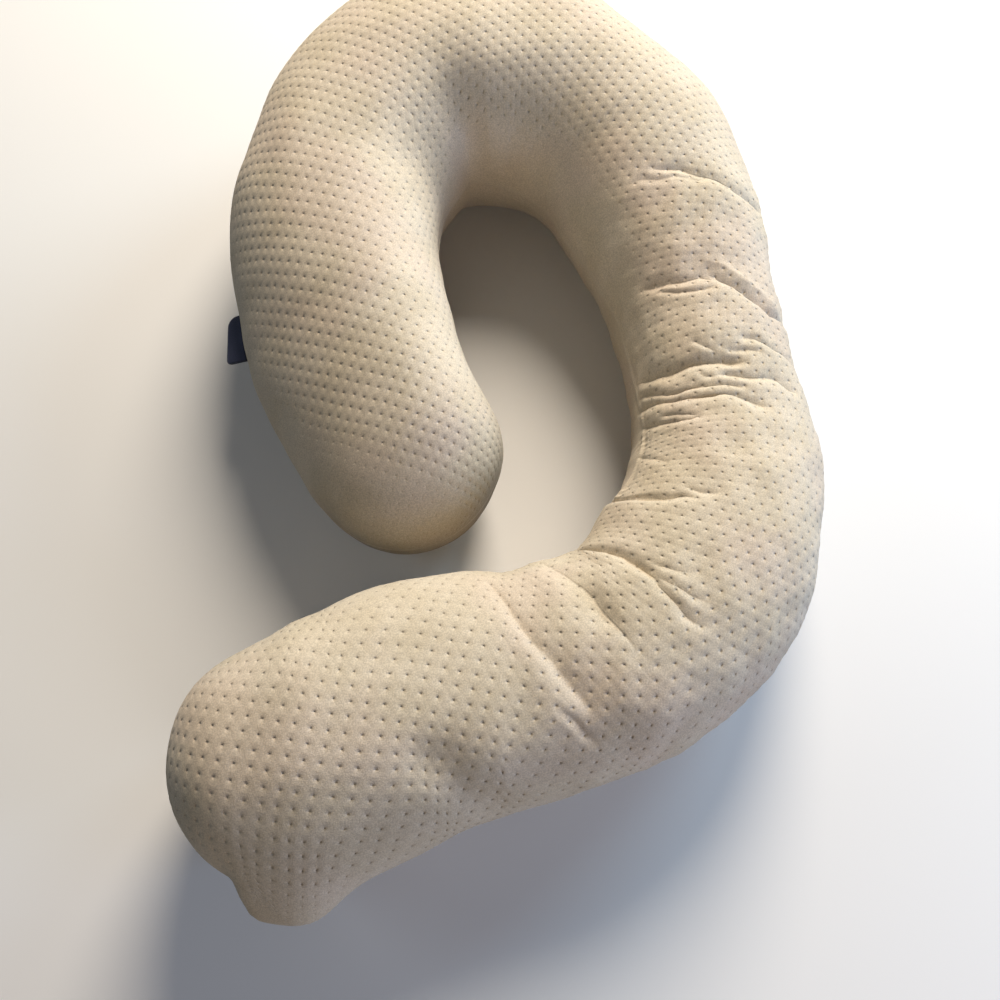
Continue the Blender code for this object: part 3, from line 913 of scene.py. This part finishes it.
def cover_material():
    """Cream knitted jersey, quilted with a grid of small round dimples, plain on the underside."""
    n = Nodes("dimpled_jersey_fine")
    spot = n.new("ShaderNodeTexCoord").outputs["Object"]
    cloth = n.new("ShaderNodeUVMap", uv_map="cloth").outputs["UV"]
    dimpled = n.attribute("dimpled")
    ridge = n.attribute("ridge")
    across = n.math("ABSOLUTE", n.attribute("across"))
    crease = n.times(n.step(across, 0.0, CREASE_WIDTH, 1.0, 0.0), n.attribute("deep"))
    stitch = n.math("FRACT", n.attribute("stitch"))
    thread = n.times(ridge, n.math("GREATER_THAN", stitch, STITCH_GAP))

    # dimples: distance to the nearest crossing of the grid, in millimetres
    half = (0.5, 0.5, 0.5)
    drift = n.noise(cloth, *DRIFT, output="Color")
    shift = n.vector("SCALE", n.vector("SUBTRACT", drift, half), DRIFT_SIZE)
    cell = n.vector("FRACTION", n.vector("ADD", cloth, shift))
    pitch = (LATTICE_PITCH[0] / MM, LATTICE_PITCH[1] / MM, 0.0)
    away = n.vector("LENGTH", n.vector("MULTIPLY", n.vector("SUBTRACT", cell, half), pitch))
    pit = n.times(n.math("POWER", PIT_SHARPNESS, away), dimpled)
    puff = n.times(n.step(away, *PUFF_RANGE), dimpled)

    # knit: fine rows of loops, and the heather of the yarn
    knit = n.new("ShaderNodeTexVoronoi", feature="F1")
    fine = n.vector("MULTIPLY", n.vector("SCALE", cloth, LOOPS), KNIT_SHAPE)
    n.feed(knit, Vector=fine, Scale=KNIT_SCALE, Randomness=KNIT_RANDOMNESS)
    loops = knit.outputs["Distance"]
    grain = n.noise(spot, *GRAIN)
    mottle = n.noise(spot, *MOTTLE)
    blush = n.noise(n.vector("ADD", spot, BLUSH_OFFSET), *BLUSH)

    colour = n.mix(n.step(mottle, *MOTTLE_STEP), CREAM_DARK, CREAM_LIGHT)
    colour = n.mix(n.times(n.step(blush, *BLUSH_STEP), BLUSH_SHARE), colour, CREAM_BLUSH)
    shade = n.times(n.step(grain, *HEATHER_STEP), n.step(loops, *LOOP_STEP))
    # painted shade: the colour is darkened low down on the hook's tip
    shade = n.times(shade, n.math("SUBTRACT", 1.0, n.times(n.attribute("painted_shade"), PAINTED_SHADE)))
    grey = n.new("ShaderNodeCombineColor")
    n.feed(grey, Red=shade, Green=shade, Blue=shade)
    colour = n.mix(1.0, colour, grey.outputs[0], "MULTIPLY")
    # painted shade in the dimples' pits, partly dirt as well
    colour = n.mix(n.times(pit, PIT_SHADE_AND_DIRT_SHARE), colour, PIT_SHADE_AND_DIRT)
    colour = n.mix(n.times(ridge, RIDGE_SHARE), colour, RIDGE_COLOUR)
    colour = n.mix(n.times(thread, THREAD_SHARE), colour, THREAD_COLOUR)

    height = n.math("SUBTRACT", n.times(puff, PUFF_HEIGHT), n.times(pit, PIT_DEPTH))
    for part, size in (
        (crease, -CREASE_DEPTH),
        (loops, -LOOP_DEPTH),
        (grain, GRAIN_HEIGHT),
        (thread, -THREAD_DEPTH),
    ):
        height = n.math("ADD", height, n.times(part, size))
    n.feed(
        n.shader, Base_Color=colour, Roughness=n.step(grain, *JERSEY_ROUGHNESS),
        Specular_IOR_Level=0.25, Sheen_Weight=0.18, Sheen_Roughness=0.5,
        Sheen_Tint=SHEEN_COLOUR, Normal=n.bump(height),
    )
    return n.material


def label_material():
    """Navy woven ribbon, finely ribbed."""
    n = Nodes("navy_ribbon_fine")
    spot = n.new("ShaderNodeTexCoord").outputs["Object"]
    rib = n.new("ShaderNodeTexWave", wave_type="BANDS", bands_direction="Y")
    n.feed(rib, Vector=spot, Scale=RIBS, Distortion=RIB_DISTORTION)
    ribs = rib.outputs["Fac"]
    grain = n.noise(spot, *RIBBON_GRAIN)
    colour = n.mix(n.step(grain, *RIBBON_STEP), NAVY_DARK, NAVY_LIGHT)
    colour = n.mix(n.times(ribs, RIB_SHARE), colour, NAVY_RIB)
    height = n.math("ADD", n.times(ribs, RIB_HEIGHT), n.times(grain, RIBBON_GRAIN_HEIGHT))
    n.feed(
        n.shader, Base_Color=colour, Roughness=n.step(grain, *RIBBON_ROUGHNESS),
        Specular_IOR_Level=0.4, Sheen_Weight=0.15, Normal=n.bump(height),
    )
    return n.material


def floor_material():
    """Plain matt white, very slightly uneven."""
    n = Nodes("plain_floor")
    spot = n.new("ShaderNodeTexCoord").outputs["Object"]
    colour = n.mix(n.noise(spot, *FLOOR_HAZE), FLOOR_DARK, FLOOR_LIGHT)
    n.feed(n.shader, Base_Color=colour, Roughness=FLOOR_ROUGHNESS)
    return n.material


# ---------------------------------------------------------------------------- assemble
cover = build_cover()
cover.data.materials.append(cover_material())
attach(cover, "root")
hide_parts("pillow")

label = build_label()
label.data.materials.append(label_material())
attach(label, "root")
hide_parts("side_label")

bpy.ops.mesh.primitive_plane_add(size=FLOOR_SIZE, location=(0, 0, -FLOOR_DROP))
floor = bpy.context.object
floor.name = "floor"
floor.data.materials.append(floor_material())
floor.visible_diffuse = False


# ---------------------------------------------------------------------------- light and camera
def area_light(name, place, size, energy, colour):
    """A round lamp at a place, turned to the middle of the pillow."""
    data = bpy.data.lights.new(name, "AREA")
    data.shape = "DISK"
    data.size = size
    data.energy = energy
    data.color = colour
    obj = bpy.data.objects.new(name, data)
    bpy.context.scene.collection.objects.link(obj)
    obj.location = place
    away = np.array(LIGHT_TARGET, dtype=float) - np.array(place, dtype=float)
    yaw = np.arctan2(away[1], away[0])
    pitch = np.arctan2(np.hypot(away[0], away[1]), -away[2])
    obj.rotation_euler = (pitch, 0, yaw - np.pi / 2)


for lamp in LIGHTS:
    area_light(*lamp)

# a faint warm glow all round, which the camera sees as a pale backdrop
world = bpy.data.worlds.new("studio")
world.use_nodes = True
sky = world.node_tree
seen = sky.nodes.new("ShaderNodeLightPath")
level = sky.nodes.new("ShaderNodeMapRange")
level.inputs["To Min"].default_value = GLOW
level.inputs["To Max"].default_value = BACKDROP
sky.links.new(seen.outputs["Is Camera Ray"], level.inputs["Value"])
sky.links.new(level.outputs["Result"], sky.nodes["Background"].inputs["Strength"])
sky.nodes["Background"].inputs["Color"].default_value = GLOW_COLOUR
bpy.context.scene.world = world

camera_data = bpy.data.cameras.new("camera")
camera_data.lens = CAMERA_LENS
camera_data.sensor_width = CAMERA_SENSOR
camera = bpy.data.objects.new("camera", camera_data)
bpy.context.scene.collection.objects.link(camera)
camera.location = CAMERA_PLACE
camera.rotation_euler = (np.radians(CAMERA_TILT), 0, 0)
bpy.context.scene.camera = camera

bpy.context.scene.view_settings.view_transform = "Standard"
bpy.context.scene.view_settings.look = "None"

bpy.context.view_layer.update()
